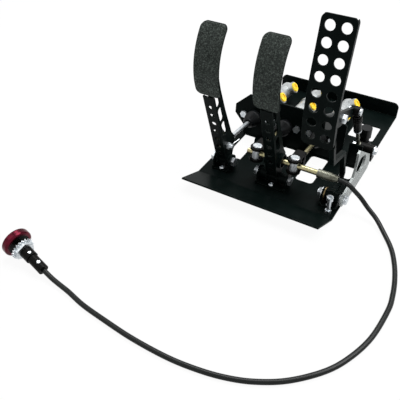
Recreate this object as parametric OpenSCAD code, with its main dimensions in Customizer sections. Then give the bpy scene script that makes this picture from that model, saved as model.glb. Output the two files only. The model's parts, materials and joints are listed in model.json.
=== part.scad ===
// Floor mounted pedal box: clutch, brake and throttle pedals on a folded tray,
// three master cylinders behind a bulkhead and a balance bar with a remote adjuster.
// X runs to the driver's right, Y runs forward, Z is up and the tray lies on Z = 0.

/* [Tray] */
// Width of the folded base tray
base_w = 265; // [220:1:320]
// Length of the flat floor of the tray
base_d = 374; // [320:1:420]
// Sheet thickness of tray and brackets
sheet_t = 3; // [2:0.5:5]
// Horizontal run of the front lip
lip_run = 58; // [30:1:80]
// Rise of the front lip at its free edge
lip_rise = 23; // [5:1:40]
// Height of the rear flange
flange_h = 33; // [20:1:50]
// Corner radius of the rear flange
flange_r = 12; // [4:1:20]
// Distance of a floor bolt hole from the tray's centre line
floor_hole_x = 121; // [90:1:125]
// Row of the front floor bolt holes
floor_hole_y1 = 66; // [60:1:80]
// Row of the rear floor bolt holes
floor_hole_y2 = 228; // [220:1:250]
// Radius of a floor or flange bolt hole
floor_hole_r = 4.25; // [3:0.05:6]
// Height of the flange bolt holes
flange_hole_z = 12.5; // [10:0.5:24]
// Side trim of the lip's right front corner
lip_trim = 5; // [0:0.5:12]

/* [Pedals] */
// Height of the common pedal pivot axis
pivot_z = 20; // [18:0.5:30]
// Distance of the pivot axis behind the lip fold
pivot_y = 38; // [30:1:50]
// Radius of a pivot bolt
pivot_r = 5; // [4:0.5:6]
// Side position of the clutch pedal
clutch_x = -98; // [-110:1:-85]
// Side position of the brake pedal
brake_x = 4; // [-10:1:15]
// Turn of the clutch pedal at rest
clutch_set = -1.6; // [-3:0.1:3]
// Width of a folded pedal arm
arm_w = 21; // [18:1:28]
// Sheet thickness of a pedal arm
arm_t = 2.5; // [2:0.5:4]
// Lean of the arm towards the driver
arm_lean = 15.9; // [10:0.1:20]
// Radius of a lightening hole in the arm's face
arm_hole_r = 4.75; // [3:0.25:6]
// Pitch of the lightening holes in the arm's face
arm_pitch = 20; // [16:1:26]

/* [Pads] */
// Width of a clutch or brake pad
pad_w = 45; // [38:1:60]
// Height of a clutch or brake pad
pad_h = 119; // [90:1:130]
// Radius of the curved pad face
pad_r = 104; // [90:1:200]
// Lean of the pad away from the driver
pad_lean = 10.4; // [5:0.1:20]
// Corner radius of a pad
pad_corner = 9; // [3:1:15]
// Thickness of the pad plate
pad_t = 2.5; // [2:0.5:4]
// Thickness of the grip layer
grip_t = 2; // [1:0.5:4]

/* [Throttle] */
// Width of the throttle plate
throttle_w = 53; // [44:1:64]
// Thickness of the throttle plate
throttle_t = 3; // [2:0.5:4]
// Radius of a throttle hole
throttle_hole_r = 8; // [5:0.25:10]
// Pitch of the throttle holes, both ways
throttle_pitch = 24.3; // [22:0.1:28]
// Depth of the folded sides of the throttle plate
throttle_fold = 8; // [5:0.5:14]
// Thickness of the bent throttle arm
throttle_arm_t = 8; // [6:0.5:12]

/* [Balance bar] */
// Distance of the balance bar axis behind the lip fold
bar_y = 37; // [34:1:42]
// Height of the balance bar axis
bar_z = 58; // [54:1:66]
// Radius of the threaded balance bar
bar_r = 5; // [4:0.5:6]
// Distance of a clevis from the brake pedal's centre
clevis_off = 36; // [32:1:42]
// Radius of a trunnion
trunnion_r = 8.5; // [7:0.5:10]
// Downward slope of push rods and cylinders towards the rear
line_tilt = 6; // [0:0.5:8]

/* [Cylinders] */
// Distance of the bulkhead from the balance bar along the push rods
bulk_at = 126; // [118:1:132]
// Thickness of the bulkhead
bulk_t = 4; // [3:0.5:6]
// Radius of a cylinder bore
bore_r = 9; // [7:0.5:10]
// Outer radius of a cylinder barrel
barrel_r = 14.5; // [12:0.5:16]
// Radius of a cylinder nose
nose_r = 12.5; // [11:0.5:14]
// Gap between the end plugs and the rear flange
plug_gap = 29.7; // [10:0.1:60]
// Radius of a push rod
rod_r = 4; // [3:0.5:5]
// Distance of a flange bolt from the cylinder's axis
flange_bolt = 24; // [22:1:28]

/* [Adjuster] */
// Radius of the adjuster knob
knob_r = 24; // [15:0.5:28]
// Radius of the adjuster cable
cable_r = 4; // [2.5:0.5:6]

/* [Fits] */
// Radial clearance of running fits
run_fit = 0.05; // [0.02:0.01:0.1]
// Side play of a pedal between its ears
side_gap = 0.5; // [0.3:0.1:1]

/* [Hidden] */
$fn = 64;
centre_y = (base_d - lip_run) / 2;
half_w = base_w / 2;
lip_a = atan(lip_rise / lip_run);
lip_len = sqrt(lip_run * lip_run + lip_rise * lip_rise);
plate_t = 4;
side_out = plate_t + 6;
corner_out = 0.2;
slot_step = 0.15;
left_x = brake_x - clevis_off;
right_x = brake_x + clevis_off;
line_xs = [clutch_x, left_x, right_x];
clutch_pin_at = -7;
arm_in = arm_w / 2 - arm_t;
boss_r = 10;
boss_half = arm_w / 2 + 3;
brake_half = 25;
bush_r = 7.5;
ear_at = boss_half + side_gap;
front_y = pivot_y - 11.5;
front_z = pivot_z + 7;
face_at = [front_y, front_z];
face_dir = [-sin(arm_lean), cos(arm_lean)];
face_in = [cos(arm_lean), sin(arm_lean)];
face_len = 164;
throttle_boss = 12;
bush_lip = 2;
plug_reach = 16;
plug_r = 9;
port_turn = 55;
port_h = 23;
end_plug_r = 6;
throttle_out = throttle_boss + side_gap + sheet_t;
pad_y = -24.2;
pad_z = 247.2;
pad_cy = pad_y + pad_r * cos(pad_lean);
pad_cz = pad_z - pad_r * sin(pad_lean);
pad_in = pad_r - grip_t - pad_t;
tube_r = 13.5;
bearing_r = 11;
arm_x = half_w - 18.5;
throttle_x = arm_x - 23;
toe_y = -14.3;
toe_z = 146.8;
toe_lean = 5.7;
toe_len = 47;
mid_lean = 4.4;
mid_len = 48;
top_lean = 11.8;
toe_row = 18.5;
top_over = 15.5;
top_len = toe_row + 7 * throttle_pitch + top_over - toe_len - mid_len;
toe_dir = [-sin(toe_lean), cos(toe_lean)];
toe_in = [cos(toe_lean), sin(toe_lean)];
mid_dir = [sin(mid_lean), cos(mid_lean)];
top_dir = [sin(top_lean), cos(top_lean)];
toe_at = [toe_y, toe_z];
mid_at = toe_at + toe_len * toe_dir;
top_at = mid_at + mid_len * mid_dir;
top_end = top_at + top_len * top_dir;
plate_route = [toe_at, mid_at, top_at, top_end];
arm_route = [toe_at + throttle_t * toe_in + 20 * toe_dir, [8.6, 109.5], [62.5, 94.7], [84, 38],
  [76, 21], [pivot_y + 3, pivot_z - 1]];
barrel_len = (base_d - sheet_t - plug_gap - bar_y) / cos(line_tilt) - bulk_at - bulk_t - plug_reach;
port_ys = [bulk_at + bulk_t + barrel_len - 75, bulk_at + bulk_t + barrel_len - 13];
pivots = [[clutch_x, ear_at + sheet_t, ear_at + sheet_t],
  [brake_x, brake_half + side_gap + sheet_t, brake_half + side_gap + sheet_t],
  [arm_x, throttle_out, half_w + plate_t - arm_x]];
lug_y = 141;
lug_z = 131;
lug_bolt = [75, 151];
block_y = 199;
block_z = 23;
stop_x = half_w - 13.5;
stop_y = 14;
stop_r = 3.5;
link_r = 4;
eye_r = 9;
eye_w = 9;
strut_x = half_w - 27.5;
lug_w = 6;
lug_x = strut_x - 4.5 - side_gap - lug_w;
block_r = 10.5;
block_x = strut_x + 4.5 + side_gap;
strut_a = atan2(lug_z - block_z, block_y - lug_y);
strut_len = sqrt(pow(lug_z - block_z, 2) + pow(block_y - lug_y, 2));
strut_rod_r = 3.5;
strut_low = 62;
ball_r = 4.6;
ball_at = bulk_at + 6;
adjust_az = 167.6;
adjust_el = 12;
adjust_at = [-203, -342, 11.4];
neck_r = 6.5;
star_teeth = 16;
hub_r = 12;
rim_r = 3.5;
coupling_x = 84;
cable_out = coupling_x + 37;
cable_route = [[cable_out, bar_y, bar_z], [cable_out + 10, bar_y, bar_z - 1], [141, 37, 54], [151, 38, 45.5],
  [164, 40, 33], [179, 37, 20.5], [198, 28, 11.5], [217, 9, 6.2], [238.5, -19, 4.1], [253.2, -50, 4.1],
  [263.6, -82.5, 4.1], [270.1, -115, 4.1], [272.4, -146, 4.1], [267.1, -203, 4.1], [251.9, -250, 4.1],
  [231, -286, 4.1], [196, -322, 4.1], [159, -345.5, 4.1], [122.7, -359.5, 4.1], [84.7, -367.7, 4.1],
  [40.8, -372, 4.1], [-16.7, -371, 4.1], [-70.7, -365.5, 4.1], [-112, -360, 4.1], [-146, -352, 4.7],
  [-168, -348.5, 6.1], [-184, -346, 8], [-203, -342, 11.4]];

// Puts the model's base centre on the origin
module framed() {
  translate([0, -centre_y, 0]) children();
}

// Frame of the push rods: local Y runs along the rods from the balance bar
module rods() {
  translate([0, bar_y, bar_z]) rotate([-line_tilt, 0, 0]) children();
}

// Extrudes a side profile, drawn as Y and Z, across X
module side(x, t) {
  translate([x, 0, 0]) rotate([90, 0, 90]) linear_extrude(t) children();
}

// Round bar along X
module xbar(x, len, r, y, z) {
  translate([x, y, z]) rotate([0, 90, 0]) cylinder(h = len, r = r);
}

// Hexagon along X
module xhex(x, len, r, y, z) {
  translate([x, y, z]) rotate([0, 90, 0]) cylinder(h = len, r = r, $fn = 6);
}

// Round bar along local Y
module ybar(x, y, len, r) {
  translate([x, y, 0]) rotate([-90, 0, 0]) cylinder(h = len, r = r);
}

// Rounded rectangle about the origin
module rounded(w, h, r) {
  square([w - 2 * r, h], center = true);
  square([w, h - 2 * r], center = true);
  for (sx = [-1, 1], sy = [-1, 1])
    translate([sx * (w / 2 - r), sy * (h / 2 - r)]) circle(r = r);
}

// Straight slot between two points, its sides a touch inside the end rounds
module slot(a, b, r) {
  run = norm(b - a);
  half = r - slot_step;
  translate(a) circle(r = r);
  translate(b) circle(r = r);
  translate(a) rotate(atan2(b[1] - a[1], b[0] - a[0])) translate([0, -half]) square([run, 2 * half]);
}

// Normal of one leg of a bent bar, and the mitre at one of its bends
function leg_normal(p, i) = let (d = p[i + 1] - p[i]) [-d[1], d[0]] / norm(d);
function bend_normal(p, i) = i == 0 ? leg_normal(p, 0)
  : i == len(p) - 1 ? leg_normal(p, i - 1)
  : let (a = leg_normal(p, i - 1), b = leg_normal(p, i)) (a + b) / (1 + a * b);

// Side profile of a bar bent along a route
module bent_bar(p, half) {
  last = len(p) - 1;
  polygon(concat([for (i = [0:last]) p[i] + half * bend_normal(p, i)],
    [for (i = [0:last]) p[last - i] - half * bend_normal(p, last - i)]));
}

// Outline of one rounded window in the tray floor
module window(x0, y0, x1, y1, r) {
  translate([(x0 + x1) / 2, (y0 + y1) / 2]) rounded(x1 - x0, y1 - y0, r);
}

// Places of the screws that hold brackets and bulkhead to the tray
module screw_places() {
  for (x = [clutch_x, brake_x, arm_x], y = [pivot_y - 9, pivot_y + 9])
    translate([x, y, 0]) children();
  for (x = [-66, 2, 74])
    translate([x, 171, 0]) children();
}

// Side profile of the tray: floor, turned up lip and rear flange in one sheet
module tray_profile() {
  polygon([[0, 0], [base_d, 0], [base_d, flange_h], [base_d - sheet_t, flange_h], [base_d - sheet_t, sheet_t],
    [sheet_t * tan(lip_a / 2), sheet_t], [sheet_t * sin(lip_a) - lip_run, lip_rise + sheet_t * cos(lip_a)],
    [-lip_run, lip_rise]]);
}

// Windows and bolt holes of the tray floor
module floor_cuts() {
  polygon([[-114, 96], [-98, 72], [-82, 72], [-82, 128], [-92, 156], [-114, 156]]);
  window(32, 70, 66, 156, 7);
  window(-28, 126, -2, 156, 5);
  window(98, 117, 121, 157, 6);
  window(66, 256, 118, 314, 5);
  for (x = [-floor_hole_x, floor_hole_x], y = [floor_hole_y1, floor_hole_y2])
    translate([x, y]) circle(r = floor_hole_r);
}

// Holes and rounded corners of the rear flange, seen along Y
module flange_cuts() {
  for (sx = [0, 1])
    mirror([sx, 0]) translate([half_w - flange_r + corner_out, flange_h - flange_r + corner_out]) difference() {
      square(flange_r + 1);
      circle(r = flange_r);
    }
}

// Tray: folded sheet with windows and bolt holes
module base_tray() {
  framed() color("dimgray") difference() {
    side(-half_w, base_w) tray_profile();
    translate([0, 0, -1]) linear_extrude(sheet_t + 2) floor_cuts();
    translate([0, base_d + 1, 0]) rotate([90, 0, 0]) linear_extrude(sheet_t + 2) flange_cuts();
    for (x = [left_x, right_x])
      translate([x - 10.5, base_d + 1, flange_hole_z]) rotate([90, 0, 0])
        cylinder(h = sheet_t + 2, r = floor_hole_r);
    translate([0, 0, -1]) linear_extrude(lip_rise + 9)
      polygon([[half_w, -2], [half_w + 9, -2], [half_w + 9, -lip_run - 9], [half_w - lip_trim, -lip_run - 9],
        [half_w - lip_trim, -lip_run]]);
    screw_places() translate([0, 0, -1]) cylinder(h = 6, r = 3 + run_fit);
    translate([stop_x, stop_y, -1]) cylinder(h = 6, r = stop_r + run_fit);
  }
}

// Grey side plate outside the tray's right edge, from the throttle pivot to the strut's block
module side_gusset() {
  framed() color("silver") side(half_w, plate_t) difference() {
    union() {
      translate([pivot_y, pivot_z]) circle(r = 13);
      polygon([[pivot_y, pivot_z - 12.5], [92, 0.5], [171, 0.5], [179, 8], [167, 36], [92, 89], [84, 87],
        [84, 58], [76, 41], [57, 34], [pivot_y, pivot_z + 12.5]]);
    }
    slot([103, 50.5], [123, 43.5], 16);
    translate([pivot_y, pivot_z]) circle(r = pivot_r + run_fit);
  }
}

// Upright plate that carries the three cylinders
module bulkhead() {
  framed() color("dimgray") {
    difference() {
      rods() translate([0, bulk_at + bulk_t, 0]) rotate([90, 0, 0]) linear_extrude(bulk_t) difference() {
        polygon([[-half_w + 12.5, -60], [-half_w + 10.5, -24], [-half_w - side_out, -2], [-half_w - side_out, 16],
          [-half_w + 18.5, 43], [half_w - 56.5, 43], [half_w - 46.5, 34], [half_w - 46.5, -60]]);
        for (x = line_xs) {
          translate([x, 0]) circle(r = nose_r + run_fit);
          for (s = [-1, 1])
            translate([x + s * flange_bolt, 0]) circle(r = 4 + run_fit);
        }
      }
      translate([-200, 0, 1.4 * sheet_t - 80]) cube([400, 300, 80]);
    }
    difference() {
      translate([-119, 159, sheet_t]) cube([204, 22, sheet_t]);
      screw_places() cylinder(h = 12, r = 3 + run_fit);
    }
  }
}

// Bracket with two ears for one pivot bolt
module ears(x, half) {
  difference() {
    union() {
      translate([x - half - sheet_t, pivot_y - 17, sheet_t]) cube([2 * half + 2 * sheet_t, 34, sheet_t]);
      for (x0 = [x - half - sheet_t, x + half])
        side(x0, sheet_t) {
          translate([pivot_y - 17, sheet_t]) square([34, 6]);
          translate([pivot_y - 13, sheet_t]) square([26, pivot_z - sheet_t]);
          translate([pivot_y, pivot_z]) circle(r = 13);
        }
    }
    xbar(x - half - 10, 2 * half + 20, pivot_r + run_fit, pivot_y, pivot_z);
    screw_places() cylinder(h = 12, r = 3 + run_fit);
  }
}

module clutch_bracket() {
  framed() color("dimgray") ears(clutch_x, ear_at);
}

module brake_bracket() {
  framed() color("dimgray") ears(brake_x, brake_half + side_gap);
}

module throttle_bracket() {
  framed() color("dimgray") ears(arm_x, throttle_boss + side_gap);
}

// Three pivot bolts with hexagon heads at the right
module pivot_bolts() {
  framed() color("silver") for (p = pivots) {
    xbar(p[0] - p[1] - 9, p[1] + p[2] + 9, pivot_r, pivot_y, pivot_z);
    xhex(p[0] + p[2], 6, 9, pivot_y, pivot_z);
  }
}

// Three washer faced nuts at the left of the pivots and the spacer beside the side plate
module pivot_nuts() {
  framed() color("silver") {
    for (p = pivots)
      difference() {
        union() {
          xhex(p[0] - p[1] - 7, 7, 9, pivot_y, pivot_z);
          xbar(p[0] - p[1] - 1.5, 1.5, 11, pivot_y, pivot_z);
        }
        xbar(p[0] - p[1] - 8, 9, pivot_r + run_fit, pivot_y, pivot_z);
      }
    difference() {
      xhex(arm_x + throttle_out, half_w - arm_x - throttle_out, 8.5, pivot_y, pivot_z);
      xbar(arm_x + throttle_out - 1, 20, pivot_r + run_fit, pivot_y, pivot_z);
    }
  }
}

// Master cylinder with nose, oval flange, stepped barrel, two side ports and end outlet
module cylinder_at(x) {
  back = bulk_at + bulk_t;
  rods() difference() {
    union() {
      ybar(x, bulk_at - 8, 8 + bulk_t, nose_r);
      translate([x, back + 6, 0]) rotate([90, 0, 0]) linear_extrude(6) {
        slot([-flange_bolt, 0], [flange_bolt, 0], 8);
        circle(r = 16);
      }
      ybar(x, back, barrel_len, barrel_r);
      for (y = [back + 26, back + 100])
        ybar(x, y, 8, barrel_r + 1.5);
      ybar(x, back + barrel_len, 10, 8.5);
      for (y = port_ys)
        translate([x, y, 0]) rotate([0, port_turn, 0]) cylinder(h = port_h, r = plug_r + 3);
    }
    ybar(x, bulk_at - 9, barrel_len - 6, bore_r);
    for (y = port_ys)
      translate([x, y, 0]) rotate([0, port_turn, 0]) {
        cylinder(h = port_h + 2, r = 3);
        translate([0, 0, port_h - 9]) cylinder(h = 12, r = plug_r + run_fit);
      }
    ybar(x, back + barrel_len - 40, 60, 2.5);
    ybar(x, back + barrel_len + 2, 20, end_plug_r + run_fit);
    for (s = [-1, 1])
      ybar(x + s * flange_bolt, back - 1, 9, 4 + run_fit);
  }
}

module clutch_cylinder() {
  framed() color("silver") cylinder_at(clutch_x);
}

module left_cylinder() {
  framed() color("silver") cylinder_at(left_x);
}

module right_cylinder() {
  framed() color("silver") cylinder_at(right_x);
}

// Ribbed rubber boots on the cylinder noses
module boots() {
  framed() color("black") rods() for (x = line_xs)
    translate([x, bulk_at - 8, 0]) rotate([90, 0, 0]) rotate_extrude()
      polygon([[nose_r, -6], [nose_r + 2.5, -6], [nose_r + 2.5, 1], [12.5, 4], [15.5, 7], [11.5, 10], [14, 13],
        [10, 16], [12.5, 19], [8.5, 22], [8.5, 25], [6, 25], [6, 21.5], [10, 19], [7.5, 16], [11.5, 13],
        [9, 10], [13, 7], [10, 4], [10, 0], [nose_r, 0]]);
}

// Plugs in the side ports and end outlets
module port_caps() {
  back = bulk_at + bulk_t;
  framed() color("gold") rods() for (x = line_xs) {
    for (y = port_ys)
      translate([x, y, 0]) rotate([0, port_turn, 0]) difference() {
        union() {
          translate([0, 0, port_h - 7]) cylinder(h = 9.5, r = plug_r);
          translate([0, 0, port_h]) cylinder(h = 1.5, r = plug_r + 1);
        }
        translate([0, 0, port_h + 1]) cylinder(h = 3, r = plug_r - 3);
      }
    translate([x, back + barrel_len, 0]) {
      ybar(0, 4, plug_reach - 4, end_plug_r);
      ybar(0, 10, 2, end_plug_r + 1.5);
    }
  }
}

// Flange bolts with heads at the front of the bulkhead and nuts behind the flange
module cylinder_bolts() {
  back = bulk_at + bulk_t + 6;
  framed() color("silver") rods() for (x = line_xs, s = [-1, 1])
    translate([x + s * flange_bolt, 0, 0]) {
      ybar(0, bulk_at - 1, back - bulk_at + 12, 4);
      translate([0, bulk_at - 5.5, 0]) rotate([-90, 0, 0]) cylinder(h = 5.5, r = 7.2, $fn = 6);
      translate([0, back, 0]) rotate([-90, 0, 0]) cylinder(h = 6.5, r = 7.2, $fn = 6);
    }
}

// Button screws of brackets and bulkhead
module frame_screws() {
  framed() color("silver") screw_places() {
    translate([0, 0, 0.3]) cylinder(h = 6, r = 3);
    difference() {
      translate([0, 0, 2 * sheet_t]) cylinder(h = 2.6, r1 = 5, r2 = 3.6);
      translate([0, 0, 2 * sheet_t + 1.2]) cylinder(h = 3, r = 2, $fn = 6);
    }
  }
}

// Upright bracket behind the right window
module cross_bracket() {
  framed() color("dimgray") side(strut_x - 7, 25)
    polygon([[158.5, sheet_t], [176, sheet_t], [176, 2 * sheet_t], [161.5, 2 * sheet_t], [161.5, 52],
      [158.5, 52]]);
}

// Block that carries the strut's lower pivot
module pivot_block() {
  framed() color("black") difference() {
    union() {
      xbar(block_x, half_w + plate_t - block_x, block_r, block_y, block_z);
      translate([block_x, block_y - 9, sheet_t]) cube([half_w + plate_t - block_x, 18, block_z - sheet_t]);
    }
    xbar(block_x - 1, half_w + 2 * plate_t - block_x, link_r + run_fit, block_y, block_z);
  }
}

// Pivot bolt of the strut
module linkage_bolt() {
  left = strut_x - eye_w / 2 - side_gap;
  framed() color("silver") {
    xbar(left, half_w + side_out - left, link_r, block_y, block_z);
    xhex(left - 5, 5, 7, block_y, block_z);
  }
}

module linkage_nut() {
  framed() color("silver") difference() {
    union() {
      xhex(half_w + plate_t, side_out - plate_t - 0.5, 7.5, block_y, block_z);
      xbar(half_w + plate_t, 1.5, 9.5, block_y, block_z);
    }
    xbar(half_w + plate_t - 1, side_out, link_r + run_fit, block_y, block_z);
  }
}

// Post with a rubber head behind the strut
module bump_stop() {
  framed() color("black") translate([strut_x, 241, sheet_t]) {
    cylinder(h = 22, r = 9);
    translate([0, 0, 18]) cylinder(h = 20, r = 11.5);
    cylinder(h = 4, r = 13);
  }
}

// Upright stop bolt in front of the throttle pivot
module throttle_stop() {
  framed() color("silver") translate([stop_x, stop_y, 0]) {
    translate([0, 0, 0.3]) cylinder(h = 31, r = stop_r);
    translate([0, 0, sheet_t]) cylinder(h = 4.5, r = 6, $fn = 6);
    difference() {
      translate([0, 0, 29]) cylinder(h = 6.5, r = 6);
      translate([0, 0, 32.5]) cylinder(h = 6, r = 3, $fn = 6);
    }
  }
}

// Turns a clutch or brake pedal about its pivot at rest
module pedal_turn(a) {
  translate([0, pivot_y, pivot_z]) rotate([-a, 0, 0]) translate([0, -pivot_y, -pivot_z]) children();
}

// Place on the front face of an arm, looking along its normal
module on_face(s) {
  translate([0, front_y - s * sin(arm_lean), front_z + s * cos(arm_lean)]) rotate([arm_lean - 90, 0, 0]) children();
}

// Side profile of a pedal cheek
module cheek_profile() {
  difference() {
    union() {
      translate([pivot_y, pivot_z]) circle(r = 12);
      polygon([face_at - 3.6 * face_dir, face_at + 165.3 * face_dir, [-30, 200], [-30, 250], [-18, 274], [-10, 272],
        [-11, 254], [5, 190], [21, 142], [44, 82], [57, 64], [57, 47], [pivot_y + 5, pivot_z - 5]]);
    }
    difference() {
      translate([-60, 184]) square([80, 120]);
      translate([pad_cy, pad_cz]) circle(r = pad_in);
    }
    slot([20, 96], [14, 115], 6.5);
    slot([8, 131], [2, 150], 6);
    slot([-4, 166], [-9, 184], 5.5);
    slot([-13, 204], [-16, 222], 4);
  }
}

// Space between the cheeks of an arm, open to the rear and above the front face
module arm_pocket() {
  low = face_at + 2 * face_dir;
  high = face_at + face_len * face_dir;
  polygon([low + arm_t * face_in, high + arm_t * face_in, high - 30 * face_in, [-120, 330], [160, 330],
    [160, -20], [-20, -20], low - 30 * face_in]);
}

// Folded arm: drilled front face, two cheeks and the pivot boss
module arm_at(x, a, half) {
  pedal_turn(a) difference() {
    union() {
      difference() {
        side(x - arm_w / 2, arm_w) cheek_profile();
        side(x - arm_in, 2 * arm_in) arm_pocket();
      }
      xbar(x - half, 2 * half, boss_r, pivot_y, pivot_z);
    }
    xbar(x - half - 1, 2 * half + 2, bush_r + run_fit, pivot_y, pivot_z);
    for (i = [0:6])
      translate([x, 0, 0]) on_face(18 + i * arm_pitch) translate([0, 0, -10]) cylinder(h = 16, r = arm_hole_r);
  }
}

// Curved layer of a pad between two radii, cut to a rounded outline
module pad_layer(x, a, r0, r1, w, h, c) {
  pedal_turn(a) intersection() {
    difference() {
      xbar(x - w, 2 * w, r1, pad_cy, pad_cz);
      xbar(x - w - 1, 2 * w + 2, r0, pad_cy, pad_cz);
    }
    translate([x, pad_y, pad_z]) rotate([-pad_lean, 0, 0]) translate([0, 40, 0]) rotate([90, 0, 0])
      linear_extrude(60) rounded(w, h, c);
  }
}

// Plain bush in a pedal boss
module bush_at(x, half) {
  difference() {
    xbar(x - half, 2 * half, bush_r, pivot_y, pivot_z);
    xbar(x - half - 1, 2 * half + 2, pivot_r + run_fit, pivot_y, pivot_z);
  }
}

module clutch_arm() {
  framed() color("dimgray") difference() {
    arm_at(clutch_x, clutch_set, boss_half);
    rods() translate([clutch_x - 20, clutch_pin_at, 0]) rotate([0, 90, 0]) cylinder(h = 40, r = link_r + run_fit);
  }
}

module clutch_pad() {
  framed() color("dimgray") pad_layer(clutch_x, clutch_set, pad_in, pad_in + pad_t, pad_w, pad_h, pad_corner);
}

module clutch_grip() {
  framed() color("gray")
    pad_layer(clutch_x, clutch_set, pad_in + pad_t, pad_r, pad_w - 1, pad_h - 1, pad_corner - 0.5);
}

module clutch_bush() {
  framed() color("peru") bush_at(clutch_x, boss_half);
}

// Clevis pin with head and slotted nut
module clutch_pin() {
  framed() color("silver") rods() translate([clutch_x, clutch_pin_at, 0]) rotate([0, 90, 0]) {
    translate([0, 0, -arm_w / 2 - 3]) cylinder(h = arm_w + 14, r = link_r);
    translate([0, 0, -arm_w / 2 - 3]) cylinder(h = 3, r = 6.5);
    translate([0, 0, arm_w / 2]) cylinder(h = 5, r = 7.2, $fn = 6);
    translate([0, 0, arm_w / 2 + 5]) cylinder(h = 2.5, r = 5.6);
  }
}

module brake_arm() {
  framed() color("dimgray") difference() {
    arm_at(brake_x, 0, brake_half);
    xbar(brake_x - 30, 60, tube_r, bar_y, bar_z);
  }
}

module brake_pad() {
  framed() color("dimgray") pad_layer(brake_x, 0, pad_in, pad_in + pad_t, pad_w, pad_h, pad_corner);
}

module brake_grip() {
  framed() color("gray") pad_layer(brake_x, 0, pad_in + pad_t, pad_r, pad_w - 1, pad_h - 1, pad_corner - 0.5);
}

module brake_bush() {
  framed() color("peru") bush_at(brake_x, brake_half);
}

// Tube in the brake arm that holds the balance bar's bearing
module bias_tube() {
  framed() color("dimgray") difference() {
    xbar(brake_x - 16, 32, tube_r, bar_y, bar_z);
    xbar(brake_x - 17, 34, bearing_r + run_fit, bar_y, bar_z);
  }
}

// Side profile of the throttle plate: three flats of one bent sheet, t thick, run past its ends by e
module throttle_profile(t0, t, e) {
  route = [toe_at - e * toe_dir, mid_at, top_at, top_end + e * top_dir];
  polygon(concat([for (i = [0:3]) route[i] - t0 * bend_normal(route, i)],
    [for (i = [0:3]) route[3 - i] - t * bend_normal(route, 3 - i)]));
}

// Rows of holes through one flat, at distances along it
module throttle_holes(at, lean, rows) {
  translate([throttle_x, at[0], at[1]]) rotate([-lean, 0, 0]) for (s = rows, sx = [-1, 1])
    translate([sx * throttle_pitch / 2, -5, s]) rotate([-90, 0, 0]) cylinder(h = 16, r = throttle_hole_r);
}

// Outline that rounds the top and bottom corners of the throttle plate
module throttle_outline() {
  high = top_end[1] - toe_z;
  translate([throttle_x, 100, toe_z + high / 2]) rotate([90, 0, 0]) linear_extrude(200)
    rounded(throttle_w, high, 9);
}

// Throttle plate with folded sides and two columns of large holes
module throttle_plate() {
  p = throttle_pitch;
  framed() color("dimgray") difference() {
    intersection() {
      throttle_outline();
      side(throttle_x - throttle_w / 2 - 1, throttle_w + 2) throttle_profile(0, throttle_fold, 0);
    }
    side(throttle_x - throttle_w / 2 + arm_t, throttle_w - 2 * arm_t)
      throttle_profile(throttle_t, throttle_fold + 20, 20);
    throttle_holes(toe_at, -toe_lean, [toe_row, toe_row + p]);
    throttle_holes(mid_at, mid_lean, [toe_row + 2 * p - toe_len, toe_row + 3 * p - toe_len]);
    for (i = [4:7])
      throttle_holes(top_at, top_lean, [toe_row + i * p - toe_len - mid_len]);
  }
}

// Bent throttle arm that steps back behind the balance bar, with its pivot boss
module throttle_arm() {
  framed() color("dimgray") difference() {
    union() {
      side(arm_x - throttle_arm_t / 2, throttle_arm_t) {
        translate([pivot_y, pivot_z]) circle(r = 12);
        difference() {
          bent_bar(arm_route, 4);
          throttle_profile(-30, throttle_fold, 0);
        }
      }
      xbar(arm_x - throttle_boss + bush_lip, 2 * throttle_boss - bush_lip, boss_r, pivot_y, pivot_z);
    }
    xbar(arm_x - 20, 40, bush_r + run_fit, pivot_y, pivot_z);
  }
}

// Flanged bush of the throttle pivot
module throttle_bush() {
  framed() color("peru") difference() {
    union() {
      xbar(arm_x - throttle_boss, 2 * throttle_boss, bush_r, pivot_y, pivot_z);
      xbar(arm_x - throttle_boss, bush_lip, 12, pivot_y, pivot_z);
    }
    xbar(arm_x - throttle_boss - 1, 2 * throttle_boss + 2, pivot_r + run_fit, pivot_y, pivot_z);
  }
}

// Lever behind the throttle plate for the strut
module strut_lug() {
  back = plate_route[1] - throttle_t * bend_normal(plate_route, 1);
  framed() color("dimgray") side(lug_x, lug_w) difference() {
    union() {
      polygon([[62, 141], [lug_y - 7, lug_z - 4], [lug_y - 2, lug_z + 7.5], [70, 166], back + 12 * mid_dir,
        back, back - 24 * toe_dir]);
      translate([lug_y, lug_z]) circle(r = eye_r);
    }
    translate([lug_y, lug_z]) circle(r = link_r + run_fit);
    translate(lug_bolt) circle(r = link_r + run_fit);
  }
}

// Pin of the strut's upper eye and the bolt on the lever
module strut_pin() {
  framed() color("silver") {
    xbar(lug_x - 4, strut_x + eye_w / 2 + side_gap - lug_x + 4, link_r, lug_y, lug_z);
    xbar(strut_x + eye_w / 2 + side_gap, 3, 6.5, lug_y, lug_z);
    xhex(lug_x - 4, 4, 6.5, lug_y, lug_z);
    xbar(lug_x - 8, lug_w + 8, link_r, lug_bolt[0], lug_bolt[1]);
    xhex(lug_x + lug_w, 6, 8.5, lug_bolt[0], lug_bolt[1]);
    xhex(lug_x - 6, 6, 7, lug_bolt[0], lug_bolt[1]);
  }
}

// Fork on the clutch push rod
module clutch_clevis() {
  half = arm_in - side_gap;
  framed() color("goldenrod") rods() translate([clutch_x, clutch_pin_at, 0]) difference() {
    union() {
      rotate([0, 90, 0]) translate([0, 0, -half]) cylinder(h = 2 * half, r = 7);
      translate([-half, 0, -7]) cube([2 * half, 28, 14]);
    }
    rotate([0, 90, 0]) translate([0, 0, -10]) cylinder(h = 20, r = link_r + run_fit);
    translate([-3.5, -10, -10]) cube([7, 26, 20]);
    ybar(0, 15, 20, rod_r + run_fit);
  }
}

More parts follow.
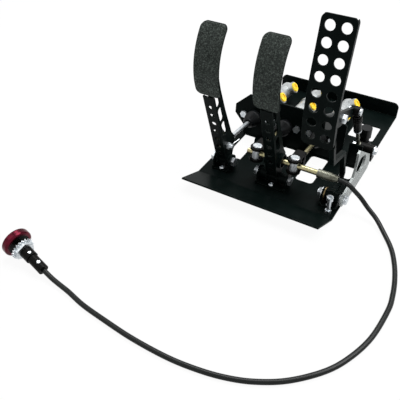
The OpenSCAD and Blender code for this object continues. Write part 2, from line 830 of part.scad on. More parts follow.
// Push rod with lock nut and ball end
module rod_at(x, from, nut) {
  rods() {
    ybar(x, from, ball_at - from, rod_r);
    translate([x, ball_at, 0]) sphere(r = ball_r);
    translate([x, nut, 0]) rotate([-90, 0, 0]) cylinder(h = 6, r = 7.2, $fn = 6);
  }
}

module clutch_rod() {
  framed() color("silver") rod_at(clutch_x, clutch_pin_at + 18, clutch_pin_at + 28);
}

// Fork with round eyes above and below the balance bar
module fork_at(x) {
  rods() translate([x, 0, 0]) difference() {
    union() {
      for (z = [-13.5, 9])
        translate([0, 0, z]) linear_extrude(4.5) {
          circle(r = 12.5);
          translate([-9, 0]) square([18, 32]);
        }
      translate([-9, 22, -13.5]) cube([18, 10, 27]);
    }
    translate([0, 0, -20]) cylinder(h = 40, r = trunnion_r + run_fit);
    ybar(0, 20, 20, rod_r + run_fit);
  }
}

// Barrel nut of a fork, threaded on the balance bar
module trunnion_at(x) {
  rods() translate([x, 0, 0]) difference() {
    union() {
      translate([0, 0, -15]) cylinder(h = 30, r = trunnion_r);
      translate([0, 0, 15]) cylinder(h = 1, r1 = trunnion_r, r2 = trunnion_r - 1);
    }
    translate([-20, 0, 0]) rotate([0, 90, 0]) cylinder(h = 40, r = bar_r + run_fit);
  }
}

module left_clevis() {
  framed() color("black") fork_at(left_x);
}

module left_trunnion() {
  framed() color("silver") trunnion_at(left_x);
}

module left_rod() {
  framed() color("goldenrod") rod_at(left_x, 24, 32);
}

module right_clevis() {
  framed() color("black") fork_at(right_x);
}

module right_trunnion() {
  framed() color("silver") trunnion_at(right_x);
}

module right_rod() {
  framed() color("goldenrod") rod_at(right_x, 24, 32);
}

// Piston with a cup for the rod's ball
module piston_at(x) {
  rods() difference() {
    union() {
      ybar(x, bulk_at, 26, bore_r - run_fit);
      ybar(x, bulk_at + 26, 6, bore_r - 2);
    }
    ybar(x, bulk_at - 1, ball_at + ball_r + 0.8 - bulk_at + 1, ball_r + 1);
  }
}

module clutch_piston() {
  framed() color("gray") piston_at(clutch_x);
}

module left_piston() {
  framed() color("gray") piston_at(left_x);
}

module right_piston() {
  framed() color("gray") piston_at(right_x);
}

// Threaded balance bar
module bias_bar() {
  framed() color("goldenrod") {
    xbar(left_x - 17, coupling_x + 12 - left_x + 17, bar_r, bar_y, bar_z);
    xbar(left_x - 18, 1, bar_r - 1, bar_y, bar_z);
  }
}

// Spherical bearing in the brake arm's tube
module bias_bearing() {
  framed() color("silver") translate([brake_x, bar_y, bar_z]) rotate([0, 90, 0]) rotate_extrude() intersection() {
    circle(r = bearing_r);
    translate([bar_r + run_fit, -7]) square([bearing_r, 14]);
  }
}

// Sleeve that joins bar and cable
module bias_coupling() {
  framed() color("gray") difference() {
    union() {
      xbar(coupling_x, 25, 7.6, bar_y, bar_z);
      xbar(coupling_x + 25, 6, 6.6, bar_y, bar_z);
      xbar(coupling_x + 31, 6, 5.6, bar_y, bar_z);
    }
    xbar(coupling_x - 1, 14, bar_r + run_fit, bar_y, bar_z);
  }
}

// Strut frame: local Z runs from the lower pivot to the upper one
module strut() {
  translate([strut_x, block_y, block_z]) rotate([90 - strut_a, 0, 0]) children();
}

// Upper tube of the throttle strut
module strut_tube() {
  framed() color("black") strut() difference() {
    union() {
      translate([0, 0, strut_low]) cylinder(h = strut_len - strut_low - eye_r - 1, r = 7.5);
      translate([0, 0, strut_len - eye_r - 2]) cylinder(h = 5, r = eye_w / 2 - 0.5);
      translate([-eye_w / 2, 0, strut_len]) rotate([0, 90, 0]) cylinder(h = eye_w, r = eye_r);
      for (i = [0:2])
        translate([0, 0, strut_len - 18 - 5 * i]) cylinder(h = 2.5, r = 9);
    }
    translate([0, 0, strut_low - 1]) cylinder(h = strut_len - strut_low - eye_r - 2.5, r = strut_rod_r + 1.2);
    translate([-eye_w, 0, strut_len]) rotate([0, 90, 0]) cylinder(h = 2 * eye_w, r = link_r + run_fit);
  }
}

// Bright collar at the lower end of the strut tube
module strut_collar() {
  framed() color("silver") strut() difference() {
    translate([0, 0, strut_low - 4]) cylinder(h = 4, r = 7.5);
    translate([0, 0, strut_low - 5]) cylinder(h = 6, r = strut_rod_r + 1.2);
  }
}

// Lower rod of the throttle strut
module strut_rod() {
  framed() color("gray") strut() difference() {
    union() {
      cylinder(h = strut_low + 6, r = strut_rod_r);
      translate([-eye_w / 2, 0, 0]) rotate([0, 90, 0]) cylinder(h = eye_w, r = eye_r);
    }
    translate([-eye_w, 0, 0]) rotate([0, 90, 0]) cylinder(h = 2 * eye_w, r = link_r + run_fit);
  }
}

// Adjuster frame: local Z runs from the cable end to the knob
module adjuster() {
  translate(adjust_at) rotate([0, 90 - adjust_el, adjust_az]) children();
}

module adjuster_barrel() {
  framed() color("black") adjuster() difference() {
    union() {
      cylinder(h = 29, r = 8.5);
      translate([0, 0, 29]) cylinder(h = 17, r = 10.2);
      translate([0, 0, 46]) cylinder(h = 15, r = neck_r);
    }
    for (z = [12, 35])
      translate([-20, 0, z]) rotate([0, 90, 0]) cylinder(h = 14, r = 2.5 + run_fit);
    translate([0, 0, 40]) cylinder(h = 30, r = 3 + run_fit);
  }
}

// Set screws in the top of the adjuster barrel
module set_screws() {
  framed() color("silver") adjuster() for (z = [12, 35])
    difference() {
      translate([-9.6, 0, z]) rotate([0, 90, 0]) cylinder(h = 3.5, r = 2.5);
      translate([-12, 0, z]) rotate([0, 90, 0]) cylinder(h = 4, r = 1.2, $fn = 6);
    }
}

module adjuster_nut() {
  framed() color("silver") adjuster() difference() {
    translate([0, 0, 46]) cylinder(h = 6, r = 17, $fn = 6);
    translate([0, 0, 45]) cylinder(h = 8, r = neck_r + run_fit);
  }
}

module star_washer() {
  framed() color("silver") adjuster() difference() {
    translate([0, 0, 52]) cylinder(h = 1.6, r = 17);
    translate([0, 0, 51]) cylinder(h = 4, r = neck_r + run_fit);
    for (i = [0:star_teeth - 1])
      rotate(i * 360 / star_teeth) translate([17.4, 0, 51]) cylinder(h = 4, r = 1.8);
  }
}

// Knob ring with rounded rims and a recess on its rear face
module knob_ring() {
  framed() color("firebrick") adjuster() translate([0, 0, 63]) rotate_extrude() difference() {
    union() {
      translate([hub_r + run_fit, 0]) square([knob_r - rim_r - hub_r - run_fit, 13]);
      translate([hub_r + run_fit, rim_r]) square([knob_r - hub_r - run_fit, 13 - 2 * rim_r]);
      for (z = [rim_r, 13 - rim_r])
        translate([knob_r - rim_r, z]) circle(r = rim_r);
    }
    translate([0, -1]) square([knob_r - 6, 3]);
  }
}

// Hub and spindle of the knob
module knob_hub() {
  framed() color("black") adjuster() {
    translate([0, 0, 65]) cylinder(h = 12, r = hub_r);
    translate([0, 0, 42]) cylinder(h = 24, r = 3);
  }
}

// Direction of the route at a point
function route_dir(p, i) = let (a = p[max(i - 1, 0)], b = p[min(i + 1, len(p) - 1)]) (b - a) / norm(b - a);

// Point between two route points on a smooth curve
function smooth_at(p, i, t) = let (
    a = p[max(i - 1, 0)], b = p[i], c = p[i + 1], d = p[min(i + 2, len(p) - 1)])
  0.5 * (2 * b + (c - a) * t + (2 * a - 5 * b + 4 * c - d) * t * t + (3 * b - a - 3 * c + d) * t * t * t);

// Tube swept along the route
module bias_cable() {
  sides = 10;
  parts = 2;
  path = [for (i = [0:len(cable_route) - 2], j = [0:parts - 1]) smooth_at(cable_route, i, j / parts),
    cable_route[len(cable_route) - 1]];
  n = len(path);
  rings = [for (i = [0:n - 1]) let (
      d = i == 0 ? [1, 0, 0] : route_dir(path, i),
      e = cross([0, 0, 1], d) / norm(cross([0, 0, 1], d)),
      f = cross(d, e))
    for (k = [0:sides - 1]) path[i] + cable_r * (cos(k * 360 / sides) * e + sin(k * 360 / sides) * f)];
  walls = [for (i = [0:n - 2], k = [0:sides - 1])
    [i * sides + k, i * sides + (k + 1) % sides, (i + 1) * sides + (k + 1) % sides, (i + 1) * sides + k]];
  ends = [[for (k = [0:sides - 1]) sides - 1 - k], [for (k = [0:sides - 1]) (n - 1) * sides + k]];
  framed() color("black") polyhedron(rings, concat(walls, ends));
}

base_tray();
side_gusset();
bulkhead();
clutch_bracket();
brake_bracket();
throttle_bracket();
pivot_bolts();
pivot_nuts();
clutch_cylinder();
left_cylinder();
right_cylinder();
boots();
port_caps();
cylinder_bolts();
frame_screws();
cross_bracket();
pivot_block();
linkage_bolt();
linkage_nut();
bump_stop();
throttle_stop();
clutch_arm();
clutch_pad();
clutch_grip();
clutch_bush();
clutch_pin();
brake_arm();
brake_pad();
brake_grip();
brake_bush();
bias_tube();
throttle_plate();
throttle_arm();
throttle_bush();
strut_lug();
strut_pin();
clutch_clevis();
clutch_rod();
left_clevis();
left_trunnion();
left_rod();
right_clevis();
right_trunnion();
right_rod();
clutch_piston();
left_piston();
right_piston();
bias_bar();
bias_bearing();
bias_coupling();
strut_tube();
strut_collar();
strut_rod();
adjuster_barrel();
set_screws();
adjuster_nut();
star_washer();
knob_ring();
knob_hub();
bias_cable();
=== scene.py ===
import json
import math

import bpy
from mathutils import Matrix, Vector


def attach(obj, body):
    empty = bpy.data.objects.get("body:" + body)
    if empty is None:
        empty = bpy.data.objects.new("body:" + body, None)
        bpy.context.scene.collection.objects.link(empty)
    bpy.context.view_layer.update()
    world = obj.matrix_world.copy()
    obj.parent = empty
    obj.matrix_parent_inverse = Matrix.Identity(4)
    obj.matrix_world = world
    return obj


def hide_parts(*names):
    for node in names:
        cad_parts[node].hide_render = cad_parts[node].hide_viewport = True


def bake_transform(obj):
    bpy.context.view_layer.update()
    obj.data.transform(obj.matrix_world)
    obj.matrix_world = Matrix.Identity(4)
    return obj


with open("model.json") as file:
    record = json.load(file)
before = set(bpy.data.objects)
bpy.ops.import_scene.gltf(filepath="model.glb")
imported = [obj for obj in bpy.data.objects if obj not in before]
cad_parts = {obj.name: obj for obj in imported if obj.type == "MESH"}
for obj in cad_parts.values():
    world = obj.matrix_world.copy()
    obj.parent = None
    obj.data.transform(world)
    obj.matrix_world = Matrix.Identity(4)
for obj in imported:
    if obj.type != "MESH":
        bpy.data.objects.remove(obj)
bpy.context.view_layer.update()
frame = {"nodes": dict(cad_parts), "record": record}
nodes = frame["nodes"]
scene = bpy.context.scene
scene.view_settings.view_transform = "Standard"
print("frame loaded:", len(nodes), "nodes")

# camera, read from the edges of the tray in the photograph
cameraSettings = {
    "place": (0.316, -0.887, 0.661),
    "down": 40.46,  # degrees below the horizon
    "aside": 31.45,  # degrees turned to the left
    "roll": -0.71,
    "lens": 51.64,
    "sensor": 36.0,
    "clip": (0.05, 20),
}


def makeCamera(c):
    down, aside, roll = (math.radians(c[key]) for key in ("down", "aside", "roll"))
    level = Vector((math.cos(aside), math.sin(aside), 0))
    ahead = Vector((-math.sin(aside) * math.cos(down), math.cos(aside) * math.cos(down), -math.sin(down)))
    upright = level.cross(ahead)
    right = math.cos(roll) * level + math.sin(roll) * upright
    up = math.cos(roll) * upright - math.sin(roll) * level
    data = bpy.data.cameras.new("camera")
    data.lens = c["lens"]
    data.sensor_width = c["sensor"]
    data.clip_start, data.clip_end = c["clip"]
    camera = bpy.data.objects.new("camera", data)
    camera.matrix_world = Matrix.Translation(c["place"]) @ Matrix((right, up, -ahead)).transposed().to_4x4()
    scene.collection.objects.link(camera)
    scene.camera = camera


makeCamera(cameraSettings)
print("camera set")


def newPiece(name, verts, faces):
    mesh = bpy.data.meshes.new(name)
    mesh.from_pydata(verts, [], faces)
    piece = bpy.data.objects.new(name, mesh)
    scene.collection.objects.link(piece)
    return piece


# panel end of the adjuster: its axis rises from the floor, and every distance is taken along it
adjusterSettings = {"place": (-0.203, -0.500, 0.0114), "turn": 167.6, "rise": 12.0}


def onAdjuster(verts, c=adjusterSettings):
    turn = Matrix.Rotation(math.radians(c["turn"]), 4, "Z")
    tip = Matrix.Rotation(math.radians(90 - c["rise"]), 4, "Y")
    stand = Matrix.Translation(c["place"]) @ turn @ tip
    return [stand @ Vector(v) for v in verts]


# bent teeth round the rim of the star washer
washerSettings = {
    "teeth": 22,
    "inner": 0.0166,
    "outer": 0.0196,
    "from": 0.0521,
    "thick": 0.0012,
    "twist": 0.0005,  # how far each tip leans out of the washer's face
    "rootShare": 0.62,  # share of the pitch that a tooth fills at its root
    "tipShare": 0.55,  # tip's width as a share of the root's
}


def makeWasherTeeth(c):
    verts, faces = [], []
    half = c["rootShare"] * math.pi / c["teeth"]
    boxSides = ((0, 1, 3, 2), (4, 6, 7, 5), (0, 4, 5, 1), (2, 3, 7, 6), (1, 5, 7, 3), (0, 2, 6, 4))
    for i in range(c["teeth"]):
        middle = 2 * math.pi * i / c["teeth"]
        first = len(verts)
        for radius, spread, twist in ((c["inner"], 1, 0), (c["outer"], c["tipShare"], c["twist"])):
            for side in (-1, 1):
                turn = middle + side * half * spread
                for z in (c["from"], c["from"] + c["thick"]):
                    verts.append((radius * math.cos(turn), radius * math.sin(turn), z + side * twist))
        faces += [[first + k for k in corners] for corners in boxSides]
    teeth = newPiece("washer_teeth", onAdjuster(verts), faces)
    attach(teeth, "base")
    return teeth


# black flat ring at the back of the knob, painted shade: it darkens the knob's recess where shade falls
recessShadeSettings = {"inner": 0.0066, "outer": 0.0177, "from": 0.0637, "thick": 0.0012, "sides": 64}


def makeKnobRecessShade(c):
    verts, faces = [], []
    inner, outer, low, high = c["inner"], c["outer"], c["from"], c["from"] + c["thick"]
    ring = ((inner, low), (outer, low), (outer, high), (inner, high))
    for k in range(c["sides"]):
        turn = 2 * math.pi * k / c["sides"]
        verts += [(radius * math.cos(turn), radius * math.sin(turn), z) for radius, z in ring]
        here, there = 4 * k, 4 * ((k + 1) % c["sides"])
        for e in range(4):
            after = (e + 1) % 4
            faces.append((here + e, there + e, there + after, here + after))
    # painted shade: a thin black ring over the recess behind the knob
    back = newPiece("knob_recess_shade", onAdjuster(verts), faces)
    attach(back, "knob")
    return back


washerTeeth = makeWasherTeeth(washerSettings)
knobRecessShade = makeKnobRecessShade(recessShadeSettings)
print("adjuster dressed")


def smoothRoute(route, steps):
    p = [Vector(q) for q in route]
    low = min(q.z for q in p)  # the curve may not dip into the floor between two points
    points = []
    for i in range(len(p) - 1):
        a, b, c, d = p[max(i - 1, 0)], p[i], p[i + 1], p[min(i + 2, len(p) - 1)]
        for k in range(steps):
            t = k / steps  # a spline through b and c, headed by their neighbours a and d
            square, cube = 2 * a - 5 * b + 4 * c - d, 3 * b - a - 3 * c + d
            q = 0.5 * (2 * b + (c - a) * t + square * t * t + cube * t ** 3)
            points.append(Vector((q.x, q.y, max(q.z, low))))
    return points + [p[-1]]


def tube(name, points, radius, sides, beside):
    verts, faces = [], []
    last = len(points) - 1
    turns = [2 * math.pi * k / sides for k in range(sides)]
    for i, q in enumerate(points):
        along = (points[min(i + 1, last)] - points[max(i - 1, 0)]).normalized()
        side = along.cross(Vector(beside)).normalized()
        up = side.cross(along)
        verts += [q + radius * (math.cos(t) * side + math.sin(t) * up) for t in turns]
    for i in range(last):
        here, there = i * sides, (i + 1) * sides
        for k in range(sides):
            j = (k + 1) % sides
            faces.append((here + k, here + j, there + j, there + k))
    faces += [tuple(reversed(range(sides))), tuple(range(last * sides, (last + 1) * sides))]
    piece = newPiece(name, verts, faces)
    piece.data.shade_smooth()
    return piece


# adjuster cable: from the coupling down to the floor, round the front and up to the adjuster barrel
cableSettings = {
    "radius": 0.004,
    "length": 0.901,
    "sides": 16,
    "steps": 8,  # rings on each stretch of the route
    "swingsTo": (0.179, -0.122, 0.02),  # the stretch up to here runs from the coupling on the brake pedal
    "liesFrom": (0.179, -0.200, 0.02),  # past here it lies on the floor
    "route": [
        (0.121, -0.121, 0.058), (0.131, -0.121, 0.057), (0.141, -0.121, 0.054), (0.151, -0.120, 0.0455),
        (0.164, -0.118, 0.033), (0.179, -0.121, 0.0205), (0.198, -0.130, 0.0115), (0.217, -0.149, 0.0062),
        (0.2385, -0.177, 0.0041), (0.2532, -0.208, 0.0041), (0.2636, -0.2405, 0.0041),
        (0.2701, -0.273, 0.0041), (0.2724, -0.304, 0.0041), (0.2671, -0.361, 0.0041),
        (0.2519, -0.408, 0.0041), (0.231, -0.444, 0.0041), (0.196, -0.480, 0.0041), (0.159, -0.5035, 0.0041),
        (0.1227, -0.5175, 0.0041), (0.0847, -0.5257, 0.0041), (0.0408, -0.530, 0.0041),
        (-0.0167, -0.529, 0.0041), (-0.0707, -0.5235, 0.0041), (-0.112, -0.518, 0.0041),
        (-0.146, -0.510, 0.0047), (-0.168, -0.5065, 0.0061), (-0.184, -0.504, 0.008),
        (-0.203, -0.500, 0.0114),
    ],
    "carries": ("adjuster_barrel", "set_screws", "adjuster_nut", "star_washer", "knob_ring", "knob_hub"),
}


def makeCable(c):
    points = smoothRoute(c["route"], c["steps"])
    cable = tube("adjuster_cable", points, c["radius"], c["sides"], (0, 0, 1))
    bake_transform(cable)
    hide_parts("bias_cable")
    print("cable laid:", round(sum((b - a).length for a, b in zip(points, points[1:])), 4), "m")
    return cable


cable = makeCable(cableSettings)

# split pin through the end of the clutch clevis pin, with one leg bent back
splitPinSettings = {
    "radius": 0.0009,
    "sides": 10,
    "steps": 6,
    "route": [
        (-0.0781, -0.128, 0.0522), (-0.0781, -0.128, 0.0587), (-0.0781, -0.128, 0.0637),
        (-0.0769, -0.1245, 0.0659), (-0.0751, -0.1185, 0.0667), (-0.0731, -0.111, 0.0675),
    ],
}


def makeSplitPin(c):
    pin = tube("split_pin", smoothRoute(c["route"], c["steps"]), c["radius"], c["sides"], (1, 0, 0))
    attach(pin, "clutch")
    return pin


splitPin = makeSplitPin(splitPinSettings)
print("split pin set")


def linear(code):
    parts = [int(code[i:i + 2], 16) / 255 for i in (1, 3, 5)]
    return (*(v / 12.92 if v <= 0.04045 else ((v + 0.055) / 1.055) ** 2.4 for v in parts), 1)


def perMetre(mm):
    return 1000 / mm


def add(tree, kind, settings=None, links=None):
    made = tree.nodes.new(kind)
    for key, value in (settings or {}).items():
        if isinstance(key, int) or key in made.inputs:
            made.inputs[key].default_value = value
        else:
            setattr(made, key, value)
    for key, socket in (links or {}).items():
        tree.links.new(socket, made.inputs[key])
    return made


def setStops(ramp, stops):
    elements = ramp.color_ramp.elements
    for at, _ in stops[2:]:
        elements.new(at)
    for element, (at, value) in zip(elements, stops):
        element.position = at
        element.color = linear(value) if isinstance(value, str) else (value, value, value, 1)
    return ramp.outputs["Color"]


def blank(name):
    made = bpy.data.materials.new(name)
    made.use_nodes = True
    tree = made.node_tree
    tree.nodes.clear()
    place = add(tree, "ShaderNodeTexCoord").outputs["Object"]
    return made, tree, place


def close(tree, surface):
    add(tree, "ShaderNodeOutputMaterial", links={"Surface": surface.outputs[0]})


# In the finishes below a stop is a noise value and the tone or roughness there.
# Skins finer than about 1 mm are drawn at about 1 mm, so that they show in the render.

# Powder coat: baked on, satin black, with a shallow orange peel that breaks the gloss and thin lighter edges,
# which are a painted highlight standing in for light caught on the edges
powderCoat = {
    "cloudMm": 35,
    "tones": [(0.3, "#050b0a"), (0.7, "#0b1211")],
    "peelMm": 1.6,
    "roughness": [(0.3, 0.30), (0.7, 0.42)],
    "edgeMm": 0.7,
    # colour of the painted edge highlight
    "edge": "#3a423f",
    "edgeStops": [(0.8, 1.0), (0.97, 0.0)],  # how square the normals stand, and how much of the painted edge highlight shows
    "bump": {"Strength": 0.12, "Distance": 0.0002},
    "surface": {"IOR": 1.5, "Specular IOR Level": 0.03},
}


def makePowderCoat(c):
    made, tree, place = blank("satin_powder_coat")
    cloud = add(tree, "ShaderNodeTexNoise", {"Scale": perMetre(c["cloudMm"]), "Detail": 4}, {"Vector": place})
    tone = setStops(add(tree, "ShaderNodeValToRGB", links={"Fac": cloud.outputs["Fac"]}), c["tones"])
    peel = add(tree, "ShaderNodeTexNoise", {"Scale": perMetre(c["peelMm"]), "Detail": 2}, {"Vector": place})
    gloss = setStops(add(tree, "ShaderNodeValToRGB", links={"Fac": peel.outputs["Fac"]}), c["roughness"])
    rounded = add(tree, "ShaderNodeBevel", {"samples": 4, "Radius": c["edgeMm"] / 1000}).outputs[0]
    true = add(tree, "ShaderNodeNewGeometry").outputs["Normal"]
    flat = add(tree, "ShaderNodeVectorMath", {"operation": "DOT_PRODUCT"}, {0: rounded, 1: true})
    # painted highlight: a lighter tone where the rounded normal turns away from the true one, in place of
    # light caught on the edges
    painted_edge_highlight = setStops(add(tree, "ShaderNodeValToRGB", links={"Fac": flat.outputs["Value"]}), c["edgeStops"])
    mixed = add(tree, "ShaderNodeMix", {"data_type": "RGBA", 7: linear(c["edge"])}, {0: painted_edge_highlight, 6: tone})
    bump = add(tree, "ShaderNodeBump", c["bump"], {"Height": peel.outputs["Fac"], "Normal": rounded})
    close(tree, add(tree, "ShaderNodeBsdfPrincipled", c["surface"],
                    {"Base Color": mixed.outputs[2], "Roughness": gloss, "Normal": bump.outputs[0]}))
    return made


# Grip sheet: dark grit bonded in resin like sandpaper, matt, with lighter and darker grains
gripSheet = {
    "gritMm": 2.6,  # drawn coarser than the real grit of about 0.5 mm
    "tones": [(0.36, "#0d110f"), (0.5, "#232a26"), (0.66, "#59615c")],
    "grainMm": 1.1,
    "patchMm": 19,
    "roughness": [(0.3, 0.7), (0.7, 0.9)],
    "bump": {"Strength": 0.7, "Distance": 0.0008},
    "surface": {"IOR": 1.45, "Specular IOR Level": 0.3},
}


def makeGripSheet(c):
    made, tree, place = blank("grit_grip_sheet")
    grit = add(tree, "ShaderNodeTexNoise", {"Scale": perMetre(c["gritMm"]), "Detail": 3, "Roughness": 0.8},
               {"Vector": place})
    tone = setStops(add(tree, "ShaderNodeValToRGB", links={"Fac": grit.outputs["Fac"]}), c["tones"])
    cells = add(tree, "ShaderNodeTexVoronoi", {"Scale": perMetre(c["grainMm"])}, {"Vector": place})
    heap = add(tree, "ShaderNodeMath", {"operation": "ADD"},
               {0: grit.outputs["Fac"], 1: cells.outputs["Distance"]})
    patch = add(tree, "ShaderNodeTexNoise", {"Scale": perMetre(c["patchMm"]), "Detail": 2}, {"Vector": place})
    gloss = setStops(add(tree, "ShaderNodeValToRGB", links={"Fac": patch.outputs["Fac"]}), c["roughness"])
    bump = add(tree, "ShaderNodeBump", c["bump"], {"Height": heap.outputs[0]})
    close(tree, add(tree, "ShaderNodeBsdfPrincipled", c["surface"],
                    {"Base Color": tone, "Roughness": gloss, "Normal": bump.outputs[0]}))
    return made


# Sintered bronze: pressed powder soaked in oil, brown gold with dark pores
sinteredBronze = {
    "poreMm": 0.9,
    "tones": [(0.36, "#3d3120"), (0.52, "#867554")],
    "roughness": [(0.3, 0.55), (0.6, 0.34)],
    "bump": {"Strength": 0.2, "Distance": 0.0001},
    "surface": {"Metallic": 1.0},
}


def makeSinteredBronze(c):
    made, tree, place = blank("sintered_bronze")
    pore = add(tree, "ShaderNodeTexNoise", {"Scale": perMetre(c["poreMm"]), "Detail": 5}, {"Vector": place})
    tone = setStops(add(tree, "ShaderNodeValToRGB", links={"Fac": pore.outputs["Fac"]}), c["tones"])
    gloss = setStops(add(tree, "ShaderNodeValToRGB", links={"Fac": pore.outputs["Fac"]}), c["roughness"])
    bump = add(tree, "ShaderNodeBump", c["bump"], {"Height": pore.outputs["Fac"]})
    close(tree, add(tree, "ShaderNodeBsdfPrincipled", c["surface"],
                    {"Base Color": tone, "Roughness": gloss, "Normal": bump.outputs[0]}))
    return made


# The other finishes have broad drifts of tone under a fine skin that breaks the gloss

# Plated plate: light grey, dull zinc with soft cloudy patches and a faint rolled grain along the sheet
greyPlate = {
    "name": "dull_zinc_plate",
    "driftMm": 9,
    "drift": {"Detail": 5},
    "tones": [(0.3, "#7d8281"), (0.7, "#9da2a1")],
    "skinMm": 0.8,
    "skin": {"Detail": 3},
    "stretch": (1, 0.08, 1),  # the grain runs along the sheet
    "roughness": [(0.3, 0.42), (0.7, 0.58)],
    "bump": {"Strength": 0.1, "Distance": 0.0001},
    "surface": {"Metallic": 0.55},
}

# Bright zinc: barrel plated steel, blue white, with small dull patches where parts rubbed together
brightZinc = {
    "name": "bright_zinc_plate",
    "driftMm": 4,
    "drift": {"Detail": 4},
    "tones": [(0.3, "#aeb6bb"), (0.65, "#d9dde0")],
    "skinMm": 0.9,
    "skin": {"Detail": 3},
    "roughness": [(0.3, 0.3), (0.75, 0.46)],
    "bump": {"Strength": 0.08, "Distance": 0.0001},
    "surface": {"Metallic": 1.0},
}

# Yellow zinc: passivated plating, olive gold with greener and pinker drifts
yellowZinc = {
    "name": "yellow_zinc_plate",
    "driftMm": 7,
    "drift": {"Detail": 3, "Distortion": 0.6},
    "tones": [(0.3, "#84815e"), (0.52, "#a8a27f"), (0.72, "#aa9a7c")],
    "skinMm": 1.0,
    "skin": {"Detail": 3},
    "roughness": [(0.3, 0.26), (0.7, 0.42)],
    "bump": {"Strength": 0.1, "Distance": 0.0001},
    "surface": {"Metallic": 1.0},
}

# Cast aluminium: gravity cast and tumbled, pale grey with a fine sandy skin
castAluminium = {
    "name": "cast_aluminium",
    "driftMm": 11,
    "drift": {"Detail": 5},
    "tones": [(0.3, "#969a9b"), (0.7, "#c6c9c9")],
    "skinMm": 1.1,
    "skin": {"Detail": 3},
    "roughness": [(0.3, 0.36), (0.7, 0.52)],
    "bump": {"Strength": 0.25, "Distance": 0.0002},
    "surface": {"Metallic": 1.0},
}

# Moulded rubber: black, slightly bloomed, soft highlights on the folds
bootRubber = {
    "name": "moulded_rubber",
    "driftMm": 6,
    "drift": {"Detail": 4},
    "tones": [(0.35, "#070809"), (0.7, "#111416")],
    "skinMm": 0.8,
    "skin": {"Detail": 2},
    "roughness": [(0.3, 0.26), (0.7, 0.36)],
    "bump": {"Strength": 0.1, "Distance": 0.0001},
    "surface": {"IOR": 1.52, "Specular IOR Level": 0.18},
}

# Polythene caps: moulded, warm yellow, waxy, a little light passes through
capPlastic = {
    "name": "moulded_polythene",
    "driftMm": 8,
    "drift": {"Detail": 2},
    "tones": [(0.3, "#f2c512"), (0.7, "#fcdc3c")],
    "skinMm": 1.2,
    "skin": {"Detail": 2},
    "roughness": [(0.3, 0.34), (0.7, 0.46)],
    "bump": {"Strength": 0.06, "Distance": 0.0001},
    "surface": {"IOR": 1.51, "Subsurface Weight": 0.15, "Subsurface Scale": 0.002,
                "Subsurface Radius": (1, 0.7, 0.2)},
}

# Black oxide: turned steel, oiled black, faint brown where the oil is thin
blackOxide = {
    "name": "oiled_black_oxide",
    "driftMm": 8,
    "drift": {"Detail": 4},
    "tones": [(0.4, "#060707"), (0.75, "#0f0d0a")],
    "skinMm": 0.7,
    "skin": {"Detail": 2},
    "roughness": [(0.3, 0.26), (0.7, 0.38)],
    "bump": {"Strength": 0.06, "Distance": 0.0001},
    "surface": {"IOR": 1.5, "Specular IOR Level": 0.06},
}

# Phosphated steel: machined sleeve and rod, dark olive grey, dull sheen
greySteel = {
    "name": "phosphated_steel",
    "driftMm": 5,
    "drift": {"Detail": 4},
    "tones": [(0.3, "#56564c"), (0.7, "#7c7d72")],
    "skinMm": 0.9,
    "skin": {"Detail": 3},
    "roughness": [(0.3, 0.34), (0.7, 0.48)],
    "bump": {"Strength": 0.12, "Distance": 0.0001},
    "surface": {"Metallic": 0.9},
}

# Anodised aluminium: turned and dyed crimson, glossy, with a fine turned skin
redAnodise = {
    "name": "red_anodised_aluminium",
    "driftMm": 12,
    "drift": {"Detail": 2},
    "tones": [(0.3, "#3c0614"), (0.7, "#5a0a20")],
    "skinMm": 0.8,
    "skin": {"Detail": 2},
    "roughness": [(0.3, 0.14), (0.7, 0.24)],
    "bump": {"Strength": 0.05, "Distance": 0.0001},
    "surface": {"Metallic": 0.85},
}

# Cable sheath: extruded plastic over a steel coil, black with a soft gloss and a faint ripple
cableSheath = {
    "name": "extruded_sheath",
    "driftMm": 20,
    "drift": {"Detail": 4},
    "tones": [(0.3, "#090c0b"), (0.7, "#121615")],
    "skinMm": 2.5,
    "skin": {"Detail": 2},
    "roughness": [(0.3, 0.28), (0.7, 0.34)],
    "bump": {"Strength": 0.03, "Distance": 0.0003},
    "surface": {"IOR": 1.5, "Specular IOR Level": 0.2},
}


def makeSkinned(c):
    made, tree, place = blank(c["name"])
    drift = add(tree, "ShaderNodeTexNoise", {"Scale": perMetre(c["driftMm"]), **c["drift"]},
                {"Vector": place})
    tone = setStops(add(tree, "ShaderNodeValToRGB", links={"Fac": drift.outputs["Fac"]}), c["tones"])
    if "stretch" in c:
        place = add(tree, "ShaderNodeMapping", {"Scale": c["stretch"]}, {"Vector": place}).outputs[0]
    skin = add(tree, "ShaderNodeTexNoise", {"Scale": perMetre(c["skinMm"]), **c["skin"]}, {"Vector": place})
    gloss = setStops(add(tree, "ShaderNodeValToRGB", links={"Fac": skin.outputs["Fac"]}), c["roughness"])
    bump = add(tree, "ShaderNodeBump", c["bump"], {"Height": skin.outputs["Fac"]})
    close(tree, add(tree, "ShaderNodeBsdfPrincipled", c["surface"],
                    {"Base Color": tone, "Roughness": gloss, "Normal": bump.outputs[0]}))
    return made


finishes = {
    "powder_coat": makePowderCoat(powderCoat),
    "grey_plate": makeSkinned(greyPlate),
    "grip": makeGripSheet(gripSheet),
    "bright_zinc": makeSkinned(brightZinc),
    "yellow_zinc": makeSkinned(yellowZinc),
    "cylinder_metal": makeSkinned(castAluminium),
    "boot_rubber": makeSkinned(bootRubber),
    "cap_plastic": makeSkinned(capPlastic),
    "black_oxide": makeSkinned(blackOxide),
    "grey_steel": makeSkinned(greySteel),
    "bronze": makeSinteredBronze(sinteredBronze),
    "red_anodise": makeSkinned(redAnodise),
    "cable_sheath": makeSkinned(cableSheath),
}
for part in frame["record"]["subparts"]:
    materials = nodes[part["node"]].data.materials
    materials.clear()
    materials.append(finishes[part["material_slot"]])
added = {"cable_sheath": [cable], "bright_zinc": [splitPin, washerTeeth], "black_oxide": [knobRecessShade]}
for slot, pieces in added.items():
    for piece in pieces:
        piece.data.materials.append(finishes[slot])

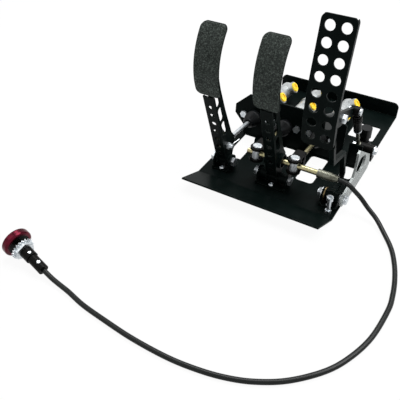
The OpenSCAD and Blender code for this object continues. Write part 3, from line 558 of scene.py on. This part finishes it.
# studio: white floor that keeps a faint shadow, large soft lamps
studio = {
    "floorSize": 12.0,
    "floorHeight": -0.0005,  # a hair under the tray
    "floorColour": "#f4f4f4",
    "shadowShare": 0.06,  # share of the floor's colour that takes light
    "worldStrength": 0.24,
    "aim": (0, 0, 0.1),
    "lamps": {
        "key": {"place": (1.2, 0.3, 1.8), "size": 1.2, "power": 30},
        "fill": {"place": (-1.3, -0.9, 1.6), "size": 1.5, "power": 5},
        "top": {"place": (-0.2, 0.55, 2.0), "size": 1.6, "power": 40},
    },
}
white = linear("#ffffff")


def seenRays(tree):
    path = add(tree, "ShaderNodeLightPath")
    seen = path.outputs["Is Camera Ray"]
    for ray in ("Is Glossy Ray", "Is Transmission Ray"):
        either = add(tree, "ShaderNodeMath", {"operation": "MAXIMUM"}, {0: seen, 1: path.outputs[ray]})
        seen = either.outputs[0]
    return seen


def makeFloor(c):
    h, z = c["floorSize"] / 2, c["floorHeight"]
    floor = newPiece("floor", [(-h, -h, z), (h, -h, z), (h, h, z), (-h, h, z)], [(0, 1, 2, 3)])
    made, tree, _ = blank("studio_floor")
    paper = add(tree, "ShaderNodeBsdfDiffuse", {"Color": linear(c["floorColour"])})
    glow = add(tree, "ShaderNodeEmission", {"Color": white, "Strength": 1.0})
    share = add(tree, "ShaderNodeMath", {"operation": "MULTIPLY", 1: 1 - c["shadowShare"]},
                {0: seenRays(tree)})
    close(tree, add(tree, "ShaderNodeMixShader",
                    links={0: share.outputs[0], 1: paper.outputs[0], 2: glow.outputs[0]}))
    floor.data.materials.append(made)


def makeWorld(c):
    world = bpy.data.worlds.new("studio")
    world.use_nodes = True
    tree = world.node_tree
    tree.nodes.clear()
    light = add(tree, "ShaderNodeBackground", {"Color": white, "Strength": c["worldStrength"]})
    shown = add(tree, "ShaderNodeBackground", {"Color": white, "Strength": 1.0})
    mix = add(tree, "ShaderNodeMixShader",
              links={0: seenRays(tree), 1: light.outputs[0], 2: shown.outputs[0]})
    add(tree, "ShaderNodeOutputWorld", links={"Surface": mix.outputs[0]})
    scene.world = world


def makeLamps(c):
    for name, lamp in c["lamps"].items():
        data = bpy.data.lights.new(name, "AREA")
        data.shape = "DISK"
        data.size = lamp["size"]
        data.energy = lamp["power"]
        made = bpy.data.objects.new(name, data)
        made.location = lamp["place"]
        made.rotation_mode = "QUATERNION"
        made.rotation_quaternion = (Vector(c["aim"]) - Vector(lamp["place"])).to_track_quat("-Z", "Y")
        scene.collection.objects.link(made)


makeFloor(studio)
makeWorld(studio)
makeLamps(studio)
print("studio lit")
